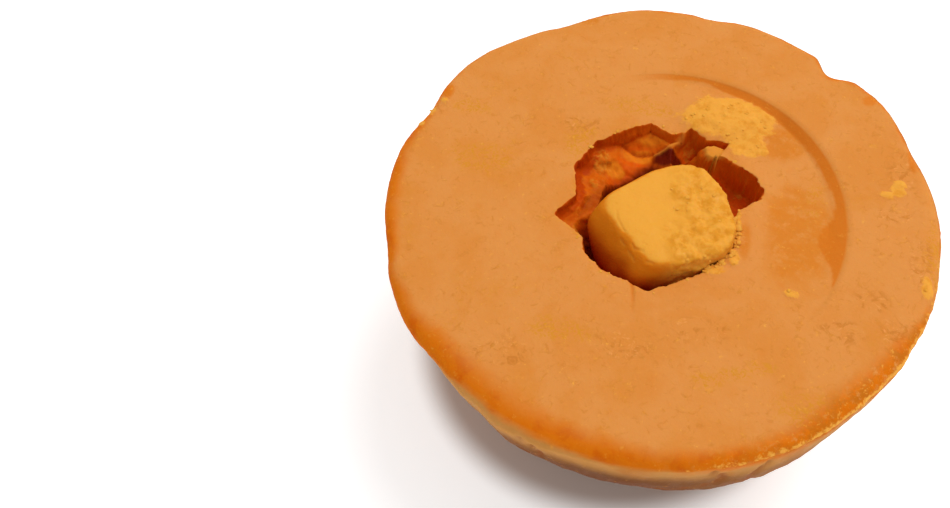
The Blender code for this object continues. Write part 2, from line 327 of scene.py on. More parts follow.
# Loose crumbs: how many and how large
FACE_CRUMBS = 45
CHUNK_CRUMBS = 25
EDGE_CRUMBS = 16
SEAM_CRUMBS = 70
CRUMB_SIZES = (0.3, 0.9)
SEAM_CRUMB_SIZES = (0.5, 1.4)
CRUMB_FLATNESS = 0.45
CRUMB_STRETCH = (0.7, 1.3)
CRUMB_UNEVEN = (0.45, 2)
CRUMB_SMALLNESS = 2.5
SEAM_CRUMBS_NEAR = (1.2, 0.8, -1.2)

# Colours, linear
FACE_TAN = (0.705, 0.27, 0.06)
FACE_ORANGE = (0.685, 0.245, 0.044)
FACE_DARK = (0.6, 0.205, 0.03)
OCHRE = (0.66, 0.255, 0.022)
SPOT_ORANGE = (0.655, 0.205, 0.022)
STAIN_ORANGE = (0.64, 0.17, 0.012)
SCUFF_BROWN = (0.56, 0.185, 0.026)
SCUFF_CREAM = (0.8, 0.34, 0.09)
# Painted shadow of the disc's step along its lip
LIP_SHADOW_BROWN = (0.5, 0.17, 0.026)
BAND_ORANGE = (0.69, 0.165, 0.003)
BAND_DEEP = (0.62, 0.115, 0.002)
BAND_BROWN = (0.54, 0.148, 0.007)
PALE_YELLOW = (0.86, 0.4, 0.06)
DOME_TAN = (0.6, 0.265, 0.066)
# Painted shade low on the dome
DOME_LOW_SHADE = (0.4, 0.142, 0.024)
DOME_OLIVE = (0.52, 0.235, 0.05)
# Darker painted shade low on the dome's front, also the colour of a dark spot
DOME_FRONT_SHADE = (0.12, 0.03, 0.005)
# Painted shade along the outline
EDGE_SHADE_OLIVE = (0.39, 0.17, 0.038)
DOME_SMUDGE = (0.54, 0.19, 0.034)
CREASE_BROWN = (0.3, 0.08, 0.012)
HOLLOW_ORANGE = (0.62, 0.13, 0.004)
# Painted light on lit patches of the hollow
HOLLOW_LIGHT = (0.76, 0.2, 0.008)
HOLLOW_RED = (0.72, 0.09, 0.002)
# Painted shade deep in the hollow, on its left wall and in its creases
HOLLOW_DEEP_SHADE = (0.46, 0.045, 0.001)
# Painted shade in the crevice behind the chunk
HOLLOW_CREVICE_SHADE = (0.12, 0.007, 0.001)
# Red of the steep walls, partly the sugar's own, partly painted shade
HOLLOW_WALL_SHADE = (0.62, 0.1, 0.002)
HOLLOW_PALE = (0.66, 0.215, 0.016)
LEDGE_TAN = (0.7, 0.26, 0.03)
RUBBLE_YELLOW = (0.8, 0.345, 0.045)
RUBBLE_DARK = (0.72, 0.275, 0.026)
CHUNK_YELLOW = (0.8, 0.352, 0.042)
# Amber of the chunk's sides, partly their glassy sugar, partly painted shade
CHUNK_AMBER = (0.74, 0.215, 0.008)
# Dark red of painted shade low on the chunk
CHUNK_SHADE_RED = (0.33, 0.03, 0.001)
CHUNK_OCHRE = (0.69, 0.265, 0.018)
FLOOR_WHITE = (0.93, 0.93, 0.93)
# Greyer floor of the painted shadow near the object
FLOOR_SHADED = (0.66, 0.56, 0.5)

# Patterns: lump size in millimetres, detail, roughness, distortion, noise where it starts and where
# it is full, and its most where that isn't 1
CLOUDS = (11, 4, 0.6, 0.6, 0.38, 0.66)
SPECKS = (1.6, 5, 0.7, 0.8, 0.52, 0.72, 0.8)
DASHES = (1.1, 4, 0.7, 1.5, 0.46, 0.60)
BLOTCHES = (2.6, 5, 0.7, 0, 0.30, 0.56)
SCUFFS_DARK = (2.4, 3, 0.6, 1.6, 0.48, 0.64, 0.75)
SCUFFS_LIGHT = (1.5, 3, 0.6, 1.8, 0.58, 0.68, 0.6)
DEEP_PATCHES = (4, 4, 0.6, 0.4, 0.45, 0.70)
BROWN_PATCHES = (2.2, 5, 0.7, 0, 0.40, 0.60)
FLECKS = (0.8, 3, 0.6, 0, 0.60, 0.70, 0.7)
WORN_PATCHES = (2.4, 5, 0.7, 0, 0.30, 0.46)
OLIVE_PATCHES = (5, 5, 0.65, 0, 0.42, 0.68, 0.6)
SMUDGES = (16, 3, 0.6, 0.8, 0.52, 0.70)
MOUTH_CRUMBS = (1, 4, 0.7, 0, 0.48, 0.62, 0.6)
PALE_CRUMBS = (1.2, 4, 0.65, 0, 0.40, 0.60, 0.8)
# Darker mottling of the rubble, partly its own tone, partly painted shade between its grains
RUBBLE_GAP_SHADE = (1.8, 4, 0.6, 0, 0.46, 0.66, 0.9)
RUBBLE_TOPS = (1.3, 3, 0.6, 0, 0.56, 0.70, 0.5)
CHUNK_CLOUDS = (4.5, 3, 0.55, 0, 0.45, 0.75, 0.6)
# Darker mottling of the chunk, partly its own tone, partly painted shade between its grains
CHUNK_GAP_SHADE = (2, 4, 0.6, 0, 0.40, 0.62, 0.95)
CHUNK_SHEEN = (2, 3, 0.55, 0, 0.2, 0.8, 0.7)
HALF_SHEEN = (3, 3, 0.55, 0, 0.2, 0.8, 0.18)

# Coats of colour over the first one, in their order: mask or everywhere (""), colour, and its share
# or the pattern that breaks it up
FACE_COATS = (
    ("", FACE_ORANGE, CLOUDS),
    ("", FACE_DARK, SPECKS),
    ("ochre", OCHRE, DASHES),
    ("orange", SPOT_ORANGE, BLOTCHES),
    ("scuff", SCUFF_BROWN, SCUFFS_DARK),
    ("scuff", SCUFF_CREAM, SCUFFS_LIGHT),
    ("red", BAND_ORANGE, 0.6),
    ("stain", STAIN_ORANGE, 0.95),
    ("crack", STAIN_ORANGE, 0.8),
    # Painted shadow along the disc's lip
    ("lip_shadow", LIP_SHADOW_BROWN, 0.6),
)
BAND_COATS = (
    ("", BAND_DEEP, DEEP_PATCHES),
    ("broken", BAND_BROWN, BROWN_PATCHES),
    ("broken", RUBBLE_YELLOW, FLECKS),
)
DOME_COATS = (
    # Painted shade low on the dome
    ("low", DOME_LOW_SHADE, 1),
    ("", DOME_OLIVE, OLIVE_PATCHES),
    ("", DOME_SMUDGE, SMUDGES),
    # Darker painted shade and a dark spot low on the dome's front
    ("front_shade_and_spot", DOME_FRONT_SHADE, 0.9),
    ("crease", CREASE_BROWN, 0.8),
)
# Darker mottling, partly painted shade between grains, and paler mottling
RUBBLE_COATS = (("", RUBBLE_DARK, RUBBLE_GAP_SHADE), ("", PALE_YELLOW, RUBBLE_TOPS))
HOLLOW_COATS = (
    # Painted light on lit patches
    ("lit", HOLLOW_LIGHT, 1),
    # Steep walls, partly painted shade
    ("wall", HOLLOW_WALL_SHADE, 1),
    # Painted shade on the left wall
    ("west_wall_shade", HOLLOW_DEEP_SHADE, 0.85),
    # Painted shade in the crevice
    ("crevice_shade", HOLLOW_CREVICE_SHADE, 1),
    # Painted shade in the crease
    ("fold_shade", HOLLOW_DEEP_SHADE, 0.8),
    ("crumbly", HOLLOW_PALE, PALE_CRUMBS),
    ("ledge", LEDGE_TAN, 0.9),
    # Painted highlight along the ridge
    ("ridge_highlight", LEDGE_TAN, 0.6),
)
# Painted shade along the outline, then the crumbled mouth's darker crumbs
EDGE_COATS = (("edge", EDGE_SHADE_OLIVE, 0.75), ("mouth", RUBBLE_DARK, MOUTH_CRUMBS))
# Darker mottling on the granular part, partly painted shade between grains, and darker broken lines
CHUNK_COATS = (("grain", CHUNK_OCHRE, CHUNK_GAP_SHADE), ("lines", RUBBLE_DARK, 0.5))

# Fine bumps: lump size, detail, roughness, and depth in millimetres
HALF_PITS = (0.45, 3, 0.6, 0.08)
HALF_LUMPS = (1.6, 4, 0.6, 0.12)
CHUNK_PITS = (0.5, 3, 0.6, 0.08)
CRUMB_PITS = (0.3, 2, 0.55, 0.05)

# Ragged edges of masks, and how deep the red of the hollow and its painted shade lie
RUBBLE_RAGGED = (1.6, 0.6)
PALE_RAGGED = (1.2, 0.5)
RAGGED_NOISE = (5.0, 0.7, 2.4)
RED_NOISE = (3.0, 0.5)
RED_DEPTHS = (0.50, 0.95)
DEEP_DEPTHS = (0.8, 1.3)

# Finish
HALF_ROUGHNESS = 0.5
HOLLOW_GLOSS = 0.12
CRUMB_ROUGHNESS = 0.62
FLOOR_ROUGHNESS = 0.9
SPECULAR = 0.03
FLOOR_SPECULAR = 0.1
DEPTH_SHARE = 0.12
DEPTH_RADIUS = (1.0, 0.35, 0.1)
DEPTH_SCALE = 2.5

# Studio: soft key from the back right, and an even white surround
KEY_DIRECTION = (0.38, 0.42, 1.00)
KEY_DISTANCE = 1.2
KEY_SIZE = 0.8
KEY_POWER = 8.9
SURROUND_STRENGTH = 0.60
# Glow of the floor, and the middle and reach of the painted shadow near the object, where it glows less
# and is greyer
FLOOR_GLOW = 0.44
SHADE_CENTRE = (-6.0, 0.0)
SHADE_FADE = (37.0, 45.0)
FLOOR_SIZE = 6.0

# Mesh density
DIRECTIONS = 600
DOME_RINGS = 36
SHOULDER_RINGS = 8
OUTER_FACE_RINGS = 22
RIM_CROWDING = 1.5
DISC_EDGE_RINGS = 6
DISC_RINGS = 34
BREAK_RINGS = 8
HOLLOW_RINGS = 52

# Photograph's view: distance, height over the horizon, roll, focal length and the face's middle
FRAME_PIXELS = (950, 508)
VIEW_DISTANCE = 0.220
VIEW_ELEVATION = 55.228
VIEW_ROLL = -6.585
FOCAL_PIXELS = 1190.4
FACE_MIDDLE_PIXEL = (655.8, 211.4)
SENSOR_WIDTH = 36.0

# Zones of the half's mesh
DOME, SHOULDER, FACE, HOLLOW = range(4)


def smooth(value):
    """Rises smoothly from 0 to 1 as the value does."""
    share = np.clip(value, 0.0, 1.0)
    return share * share * (3 - 2 * share)


def swell(angle, middle_deg, half_width_deg):
    """Smooth bump that is 1 in its middle direction and 0 at its half width."""
    away = np.abs((np.degrees(angle) - middle_deg + 180) % 360 - 180)
    return smooth(1 - away / half_width_deg)


def swells(angle, value, stretches):
    """A value that is larger or smaller in some stretches: middle, half width, how much."""
    for middle, half_width, more in stretches:
        value = value + more * swell(angle, middle, half_width)
    return value


def polar(x, y, centre=(0, 0)):
    """Bearing and distance of places from a centre."""
    east, north = x - centre[0], y - centre[1]
    return np.arctan2(north, east), np.hypot(east, north)


def spot(x, y, centre_x, centre_y, radius_x, radius_y):
    """Smooth patch that is 1 in its middle and 0 outside its radii."""
    reach = np.hypot((x - centre_x) / radius_x, (y - centre_y) / radius_y)
    return smooth(1.5 - 1.5 * reach)


def noise_places(points, size, seed):
    """Points in millimetres as places in the noise, for lumps of the given size."""
    shift = Vector([seed * step for step in NOISE_SHIFT])
    return [Vector(point) / size + shift for point in points]


def bumps(points, size, octaves, seed):
    """Fractal noise of about -1 to 1."""
    return np.array([noise.fractal(place, 1, 2, octaves) for place in noise_places(points, size, seed)])


def grains(points, size, seed):
    """Close-packed rounded grains: 1 on top of each grain, 0 between them."""
    nearest = [noise.voronoi(place)[0][0] for place in noise_places(points, size, seed)]
    return 1 - np.clip(np.array(nearest) / GRAIN_REACH, 0, 1) ** 2


def grain_relief(points, mask, seed):
    """Height of fused grains of two sizes where the mask shows them, in millimetres."""
    height = np.zeros(len(points))
    shown = np.flatnonzero(mask > 0.01)
    coarse = grains(points[shown], GRAIN_SIZE, seed)
    small = grains(points[shown], GRAIN_SIZE / 2, seed + 1)
    height[shown] = mask[shown] * GRAIN_HEIGHT * (GRAIN_MIX * coarse + (1 - GRAIN_MIX) * small)
    return height


def spots(x, y, patches):
    """Smooth patches: 1 in the middle of each and 0 outside them all."""
    return np.maximum.reduce([spot(x, y, *patch) for patch in patches])


def line_share(x, y, half_width, passed):
    """Line through the points passed: 1 along it and 0 beyond its half width."""
    nearest = np.full_like(x, np.inf)
    for start, end in zip(passed, passed[1:]):
        along = np.subtract(end, start)
        reach = ((x - start[0]) * along[0] + (y - start[1]) * along[1]) / (along @ along)
        reach = np.clip(reach, 0, 1)
        away = np.hypot(x - start[0] - reach * along[0], y - start[1] - reach * along[1])
        nearest = np.minimum(nearest, away)
    return smooth(1 - nearest / half_width)


def rim_radius(angle):
    """Radius of the outer rim in each direction."""
    return swells(angle, RIM_RADIUS, RIM_UNEVEN)


def shoulder_size(angle):
    """Width and drop of the rounded shoulder in each direction."""
    width = swells(angle, SHOULDER_WIDTH, [(*where, more) for *where, more, _ in SHOULDER_WORN])
    drop = swells(angle, SHOULDER_DROP, [(*where, more) for *where, _, more in SHOULDER_WORN])
    return width, drop


def break_radius(angle):
    """Distance from the hollow's centre to the straight edges between the break's corners."""
    corners = np.array(BREAK_CORNERS)[::-1] - HOLLOW_CENTRE
    bearings = np.arctan2(corners[:, 1], corners[:, 0])
    order = np.argsort(bearings)
    corners, bearings = corners[order], bearings[order]
    wrapped = (angle + math.pi) % math.tau - math.pi
    start = (np.searchsorted(bearings, wrapped, side="right") - 1) % len(corners)
    first = corners[start]
    edge = corners[(start + 1) % len(corners)] - first
    crossing = np.cos(angle) * edge[:, 1] - np.sin(angle) * edge[:, 0]
    return (first[:, 0] * edge[:, 1] - first[:, 1] * edge[:, 0]) / crossing


def ragged_break_radius(angle):
    """The break's crumbled edge, closed beside the chunk but clear of it."""
    radius = break_radius(angle)
    x, y = ring(HOLLOW_CENTRE, radius, angle)
    edge = np.stack([x, y, np.zeros_like(x)], axis=1)
    radius = radius - SEAM_CLOSED * swell(angle, *SEAM)
    for height, lumps in EDGE_UNEVEN:
        radius = radius + height * bumps(edge, *lumps)
    return np.maximum(radius, seam_radius(angle))


@functools.cache
def chunk_reach():
    """Farthest that the chunk comes out from the hollow's centre, in each sector round it."""
    points = chunk_shape()[0]
    bearing, distance = polar(points[:, 0], points[:, 1], HOLLOW_CENTRE)
    sectors = np.round(bearing / math.tau * SEAM_SECTORS).astype(int) % SEAM_SECTORS
    reach = np.zeros(SEAM_SECTORS)
    np.maximum.at(reach, sectors, distance)
    return np.maximum.reduce([np.roll(reach, shift) for shift in (-1, 0, 1)])


def seam_radius(angle):
    """Nearest that the break's edge may come to the hollow's centre, clear of the chunk."""
    sectors = np.arange(SEAM_SECTORS) * math.tau / SEAM_SECTORS
    return np.interp(angle, sectors, chunk_reach(), period=math.tau) + SEAM_CLEAR


def disc_edge_width(angle):
    """Width of the slope down into the sunken disc, in each direction."""
    return swells(angle, DISC_EDGE, (DISC_EDGE_WIDER,))


def disc_drop(x, y):
    """How far the sunken disc lies below the face; its edge shows only on one side."""
    angle, distance = polar(x, y, DISC_CENTRE)
    inside = np.clip((DISC_RADIUS - distance) / disc_edge_width(angle), 0, 1)
    fade_from, fade_to = DISC_FADE
    outward = smooth((distance / DISC_RADIUS - fade_from) / (fade_to - fade_from))
    return DISC_DROP * inside * swell(angle, DISC_MIDDLE, DISC_REACH) * outward


def mound_height(x, y):
    """Low heap of rubble pressed on to the face."""
    reach = np.hypot((x - MOUND_CENTRE[0]) / MOUND_RADII[0], (y - MOUND_CENTRE[1]) / MOUND_RADII[1])
    return MOUND_HEIGHT * smooth(MOUND_END - reach)


def face_height(x, y):
    """Height of the unbroken face."""
    return mound_height(x, y) - disc_drop(x, y)


def behind_chunk(x, y):
    """How far behind the chunk's middle a place is, across the crevice."""
    east, north = x - CHUNK_CENTRE[0], y - CHUNK_CENTRE[1]
    return east * CREVICE_DIRECTION[0] + north * CREVICE_DIRECTION[1]


def crevice_wall(x, y):
    """Height of the wall behind the chunk over the floor of the first scoop."""
    return CREVICE_SLOPE * np.maximum(behind_chunk(x, y) - CREVICE_DISTANCE, 0)


def scoop_height(x, y):
    """Height of the hollow's floor: the lowest of its scoops at each place."""
    lowest = np.full_like(x, -BREAK_DEPTH)
    for number, (centre_x, centre_y, radius_x, radius_y, depth, steepness) in enumerate(SCOOPS):
        reach = np.hypot((x - centre_x) / radius_x, (y - centre_y) / radius_y)
        height = depth * (np.minimum(reach, 1.0) ** steepness - 1)
        if number == 0:
            height = np.maximum(height, crevice_wall(x, y) - depth)
        lowest = np.minimum(lowest, height)
    return lowest


def hollow_height(x, y, inset):
    """Height inside the break, at an inset from its edge."""
    fallen = smooth(inset / BREAK_RUN)
    floor = scoop_height(x, y)
    for patch, height, top in LEDGES:
        floor = np.maximum(floor, np.minimum(top, floor + height * spot(x, y, *patch)))
    return face_height(x, y) * (1 - fallen) + floor * fallen


def bearings_through_corners():
    """Even directions, with the nearest ones moved on to the break's corners."""
    angles = np.arange(DIRECTIONS) * math.tau / DIRECTIONS
    for corner_x, corner_y in BREAK_CORNERS:
        bearing = math.atan2(corner_y - HOLLOW_CENTRE[1], corner_x - HOLLOW_CENTRE[0]) % math.tau
        nearest = round(bearing / math.tau * DIRECTIONS) % DIRECTIONS
        angles[nearest] = bearing
    return angles


def ring(centre, radius, angles):
    """Plan of one ring about a centre."""
    return centre[0] + radius * np.cos(angles), centre[1] + radius * np.sin(angles)


def dome_rings(angles):
    """Rings from the foot up the dome to just below the shoulder."""
    rim = rim_radius(angles)
    drop = shoulder_size(angles)[1]
    start = math.asin(FOOT_RADIUS / RIM_RADIUS)
    slack = swells(angles, DOME_SLACK, DOME_SLACKER)
    rings = []
    for step in range(DOME_RINGS + 1):
        turn = start + (math.pi / 2 - start) * step / DOME_RINGS
        uneven = (rim - RIM_RADIUS) * math.sin(turn) ** RIM_FADE_POWER
        sunk = slack * math.sin(math.pi * step / DOME_RINGS)
        x, y = ring((0, 0), RIM_RADIUS * math.sin(turn) + uneven - sunk, angles)
        depth = math.cos(turn) / math.cos(start)
        rings.append((x, y, -drop - (FACE_HEIGHT - drop) * depth))
    return rings


def shoulder_rings(angles):
    """Rings over the rounded shoulder on to the face."""
    rim = rim_radius(angles)
    width, drop = shoulder_size(angles)
    rings = []
    for step in range(1, SHOULDER_RINGS + 1):
        turn = math.pi / 2 * step / SHOULDER_RINGS
        x, y = ring((0, 0), rim - width * (1 - math.cos(turn)), angles)
        rings.append((x, y, drop * (math.sin(turn) - 1)))
    return rings


def blend_plans(outer, inner, count, height, crowding=1.0):
    """Rings between two plans, set on a height function; crowding over 1 packs them to the outer plan."""
    rings = []
    for step in range(1, count + 1):
        share = (step / count) ** crowding
        x = outer[0] + (inner[0] - outer[0]) * share
        y = outer[1] + (inner[1] - outer[1]) * share
        rings.append((x, y, height(x, y)))
    return rings


def face_rings(angles):
    """Rings over the flat face and the sunken disc, up to the break."""
    shoulder = ring((0, 0), rim_radius(angles) - shoulder_size(angles)[0], angles)
    disc_lip = ring(DISC_CENTRE, np.full_like(angles, DISC_RADIUS), angles)
    disc_foot = ring(DISC_CENTRE, DISC_RADIUS - disc_edge_width(angles), angles)
    mouth = ring(HOLLOW_CENTRE, ragged_break_radius(angles), angles)
    rings = blend_plans(shoulder, disc_lip, OUTER_FACE_RINGS, face_height, RIM_CROWDING)
    rings += blend_plans(disc_lip, disc_foot, DISC_EDGE_RINGS, face_height)
    return rings + blend_plans(disc_foot, mouth, DISC_RINGS, face_height)


def hollow_rings(angles):
    """Rings down the broken wall, upright in the seam, and over the scooped floor."""
    radius = ragged_break_radius(angles)
    upright = np.minimum(radius, seam_radius(angles) * np.sign(swell(angles, *SEAM)))
    rings = []
    for step in range(1, BREAK_RINGS + 1):
        inset = BREAK_RUN * step / BREAK_RINGS
        x, y = ring(HOLLOW_CENTRE, np.maximum(radius - inset, upright), angles)
        rings.append((x, y, hollow_height(x, y, np.full_like(x, inset))))
    for step in range(1, HOLLOW_RINGS):
        reach = (radius - BREAK_RUN) * (1 - step / HOLLOW_RINGS)
        x, y = ring(HOLLOW_CENTRE, reach, angles)
        rings.append((x, y, hollow_height(x, y, radius - reach)))
    return rings


def close_rings(rings, bottom, top):
    """Vertices and faces of the closed surface over the rings, from its bottom to its top point."""
    count = len(rings[0][0])
    points = np.concatenate([[bottom], *(np.stack(plan, axis=1) for plan in rings), [top]])
    last_ring = 1 + (len(rings) - 1) * count
    side = np.arange(count)
    after = (side + 1) % count
    faces = np.stack([np.zeros_like(side), 1 + after, 1 + side], axis=1).tolist()
    for start in range(1, last_ring, count):
        lower, upper = start, start + count
        faces += np.stack([lower + side, lower + after, upper + after, upper + side], axis=1).tolist()
    top_point = np.full_like(side, len(points) - 1)
    faces += np.stack([last_ring + side, last_ring + after, top_point], axis=1).tolist()
    return points, faces


def zones_of_rings():
    """Zone of every vertex of the half."""
    face_count = OUTER_FACE_RINGS + DISC_EDGE_RINGS + DISC_RINGS
    hollow_count = BREAK_RINGS + HOLLOW_RINGS - 1
    per_ring = [DOME] * (DOME_RINGS + 1) + [SHOULDER] * SHOULDER_RINGS
    per_ring += [FACE] * face_count + [HOLLOW] * hollow_count
    return np.concatenate([[DOME], np.repeat(per_ring, DIRECTIONS), [HOLLOW]])


def chunk_undersides():
    """Sloping faces all round that narrow the chunk towards its base."""
    tilt = math.radians(CHUNK_UNDERSIDE_TILT)
    faces = []
    for side in range(CHUNK_UNDERSIDES):
        bearing = math.tau * side / CHUNK_UNDERSIDES
        outward = (math.sin(tilt) * math.cos(bearing), math.sin(tilt) * math.sin(bearing), -math.cos(tilt))
        faces.append((*outward, CHUNK_UNDERSIDE_DISTANCE))
    return faces


def chunk_points(directions):
    """Points of the chunk: the soft meeting of its broken faces, along each direction."""
    power = CHUNK_EDGE_SHARPNESS
    total = np.zeros(len(directions))
    for *normal, distance in (*CHUNK_FACES, *chunk_undersides()):
        outward = np.array(normal) / np.linalg.norm(normal)
        total += (np.maximum(directions @ outward, 0) / distance) ** power
    return np.array(CHUNK_CENTRE) + directions * (total ** (-1 / power))[:, None]


def mesh_normals(points, faces):
    """Smooth outward directions at the points of a mesh."""
    mesh = bpy.data.meshes.new("measure")
    mesh.from_pydata(points.tolist(), [], faces)
    normals = np.zeros(len(points) * 3, np.float32)
    mesh.vertices.foreach_get("normal", normals)
    bpy.data.meshes.remove(mesh)
    return normals.reshape(-1, 3).astype(float)


def add_object(name, data):
    """A new object in the scene."""
    added = bpy.data.objects.new(name, data)
    bpy.context.scene.collection.objects.link(added)
    return added


def make_piece(name, points, faces, masks, material, node):
    """Finished piece in metres on Z = 0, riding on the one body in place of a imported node."""
    mesh = bpy.data.meshes.new(name)
    raised = (np.asarray(points) + (0, 0, FACE_HEIGHT)) * MM
    mesh.from_pydata(raised.tolist(), [], faces)
    for mask_name, values in masks.items():
        attribute = mesh.attributes.new(mask_name, "FLOAT", "POINT")
        attribute.data.foreach_set("value", np.asarray(values, np.float32))
    mesh.materials.append(material)
    mesh.shade_smooth()
    piece = add_object(name, mesh)
    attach(piece, "root")
    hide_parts(node)
    return piece


def crease_depth(x, y, z):
    """Share of the mould cloth's creases at points of the dome: 1 along each crease, 0 away from it."""
    draw = np.random.default_rng(CREASE_SEED)
    bearing, distance = polar(x, y)
    fall = np.clip(-z / FACE_HEIGHT, 0, 1)
    total = np.zeros_like(x)
    for number in range(CREASES):
        start = math.tau * (number + draw.uniform(-CREASE_STRAY, CREASE_STRAY)) / CREASES
        slant = draw.uniform(-CREASE_SLANT, CREASE_SLANT)
        bend = draw.uniform(-CREASE_BEND, CREASE_BEND)
        length = draw.uniform(*CREASE_LENGTHS)
        width = draw.uniform(*CREASE_WIDTHS)
        line = start + slant * fall + bend * np.sin(fall * CREASE_WAVES)
        away = ((bearing - line + math.pi) % math.tau - math.pi) * distance
        begins = smooth((fall - CREASE_FROM) / CREASE_FADES[0])
        ends = smooth((length - fall) / CREASE_FADES[1])
        total = np.maximum(total, np.exp(-((away / width) ** 2)) * begins * ends)
    return total


def rise(value, start, run):
    """Rises smoothly from 0 at the start to 1 over the run."""
    return smooth((value - start) / run)


def rim_masks(points, zones, large, fine):
    """Orange band over the shoulder, the dome's own skin below it, the pale worn rim, and painted shade
    low on the dome, darker on its low front with a dark spot, and along the outline.
    """
    x, y, z = points.T
    bearing, distance = polar(x, y)
    on_face = rim_radius(bearing) - distance
    width = swells(bearing, BAND_WIDTH, BAND_WIDER)
    reach = width + BAND_UNEVEN * large + BAND_RAGGED * fine - on_face
    face_band = smooth(reach / (BAND_SOFTNESS * width + BAND_SOFT_LEAST))
    drips = swell(bearing, *DRIPS)
    depth = BAND_DEPTH
    for (least, more), lumps in ((DRIPS_LARGE, large), (DRIPS_FINE, fine)):
        depth = depth + (least + more * drips) * lumps
    depth = swells(bearing, depth, BAND_DEEPER)
    skin = smooth(0.5 - (depth + z) / SKIN_SOFTNESS) * (zones != HOLLOW) * (zones != FACE)
    pale = smooth((PALE_RIM_WIDTH + PALE_UNEVEN * large - on_face) / PALE_SOFTNESS)
    # A dark spot, and darker painted shade low on the dome's front
    middle, half_width, height, dark_spot_reach = DARK_SPOT
    dark_spot = smooth(DARK_SPOT_EDGE[0] - np.abs(z - height) / dark_spot_reach + DARK_SPOT_EDGE[1] * fine)
    dark_spot = dark_spot * swell(bearing, middle, half_width)
    front_shade_and_spot = np.maximum(rise(-z, *FRONT_SHADE_DEPTH) * swell(bearing, *FRONT_SHADE), dark_spot)
    # Painted shade along the outline
    edge = smooth((EDGE_OVER[0] - on_face + EDGE_RAGGED * fine) / EDGE_OVER[1])
    edge = edge * smooth((EDGE_DOWN[0] + z) / EDGE_DOWN[1]) * swell(bearing, *EDGE_SHADE_STRETCH)
    top = (zones == FACE) | (zones == SHOULDER)
    side = zones == DOME
    return {
        "band": np.where(top, face_band, side) * (1 - skin),
        "broken": swell(bearing, *BAND_BROKEN),
        "dome": skin,
        # Painted shade low on the dome
        "low": np.where(side, rise(-z, *LOW_SHADE), 0),
        "front_shade_and_spot": np.where(side, front_shade_and_spot, 0),
        "edge": np.where(zones == FACE, 0, edge),
        "pale": np.where(top, pale * swell(bearing, *PALE_RIM), 0),
    }


def face_masks(points, zones, large, fine):
    """Rubble and other patches, the disc's stain and the painted shadow along its lip, the crack, and the
    crumbled mouth.
    """
    x, y = points[:, 0], points[:, 1]
    bearing, distance = polar(x, y, DISC_CENTRE)
    inner = DISC_RADIUS - distance
    shown = smooth(swell(bearing, DISC_MIDDLE, DISC_REACH) * DISC_SHOWN)
    width = swells(bearing, STAIN_WIDTH + STAIN_UNEVEN * large + STAIN_RAGGED * fine, STAIN_WIDER)
    stain = smooth(inner / STAIN_FROM) * smooth((width - inner) / STAIN_SOFTNESS + 0.5)
    heaped = spots(x, y, RUBBLE_SPOTS)
    ragged = (RUBBLE_NOISE[0] * fine + RUBBLE_NOISE[1] * large) * smooth(heaped * RUBBLE_WITHIN)
    half_width, passed = CRACK
    bearing, distance = polar(x, y, HOLLOW_CENTRE)
    mouth = distance - break_radius(bearing)
    masks = {
        "rubble": smooth((heaped + ragged) * RUBBLE_EDGE[0] - RUBBLE_EDGE[1]),
        "stain": stain * shown,
        # Painted shadow of the disc's step along its lip
        "lip_shadow": np.exp(-(((inner - LIP_PLACE) / LIP_LINE) ** 2)) * shown,
        "crack": line_share(x, y, half_width, passed) * smooth((y - passed[-1][1]) / CRACK_FADE),
        "mouth": smooth((MOUTH_CRUMBLED - mouth) / MOUTH_CRUMBLED + 0.5 * fine),
    }
    for name, (patches, strength, uneven, raggedness, less) in PATCHES.items():
        patch = spots(x, y, patches) * strength + uneven * large + raggedness * fine - less
        masks[name] = smooth(patch)
    top = (zones == FACE) | (zones == SHOULDER)
    return {name: np.where(top, values, 0) for name, values in masks.items()}


def crevice_shade_share(x, y, z, fine):
    """Painted shade in the crevice behind the chunk, and in the shaded place at its end."""
    behind = behind_chunk(x, y)
    end, end_run = CREVICE_DARK_TO
    share = smooth((end + CREVICE_RAGGED * fine - behind) / end_run)
    share = share * rise(-z, *CREVICE_BELOW) * rise(-x, *CREVICE_END) * rise(behind, *CREVICE_DARK_FROM)
    return np.maximum(share, smooth(spots(x, y, HOLLOW_SHADE) * HOLLOW_SPOT_STRENGTH + 0.25 * fine))


